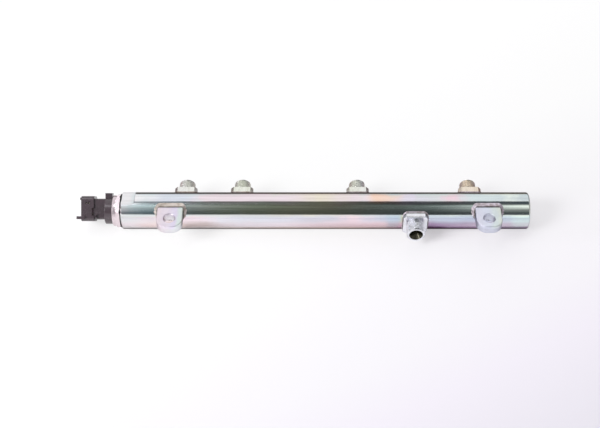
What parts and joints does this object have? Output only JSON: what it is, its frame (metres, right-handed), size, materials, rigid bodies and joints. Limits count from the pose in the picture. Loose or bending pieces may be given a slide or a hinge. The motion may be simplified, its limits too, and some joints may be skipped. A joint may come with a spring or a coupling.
{
  "type": "fuel rail",
  "caption": "High-pressure fuel rail: a plated steel tube with threaded pipe fittings, welded bolt lugs and a screwed-in pressure sensor with an open plug.",
  "frame": {"origin": "midway between the two bolt holes, on the plane of the lugs' lower faces", "axes": "+X along the tube, away from the sensor; +Y the way the outlet fittings point; +Z along the bolts, towards their heads"},
  "size_m": [0.392, 0.0643, 0.0324],
  "materials": {
    "zinc_tube": "bright zinc plating with a faint rainbow passivation on drawn steel",
    "zinc_fitting": "zinc plating with a yellow-green tint on turned steel",
    "zinc_lug": "satin zinc plating with a lilac tint on pressed steel",
    "zinc_weld": "zinc-plated weld bead",
    "sensor_steel": "turned stainless steel",
    "cell_steel": "ground stainless steel",
    "seal_rubber": "black moulded rubber",
    "plug_plastic": "dark charcoal glass-filled nylon",
    "pin_metal": "tinned brass",
    "board_laminate": "green glass-epoxy laminate",
    "chip_plastic": "black moulding compound"
  },
  "bodies": {
    "root": {"circuit_board": "board_laminate", "contact_pin_1": "pin_metal", "contact_pin_2": "pin_metal", "contact_pin_3": "pin_metal", "housing_o_ring": "seal_rubber", "inlet_fitting": "zinc_fitting", "inlet_weld": "zinc_weld", "lug_weld_left": "zinc_weld", "lug_weld_right": "zinc_weld", "measuring_cell": "cell_steel", "mounting_lug_left": "zinc_lug", "mounting_lug_right": "zinc_lug", "outlet_fitting_1": "zinc_fitting", "outlet_fitting_2": "zinc_fitting", "outlet_fitting_3": "zinc_fitting", "outlet_fitting_4": "zinc_fitting", "outlet_weld_1": "zinc_weld", "outlet_weld_2": "zinc_weld", "outlet_weld_3": "zinc_weld", "outlet_weld_4": "zinc_weld", "plug_housing": "plug_plastic", "rail_tube": "zinc_tube", "sensor_body": "sensor_steel", "sensor_seal_ring": "seal_rubber", "signal_chip": "chip_plastic"}
  },
  "joints": []
}
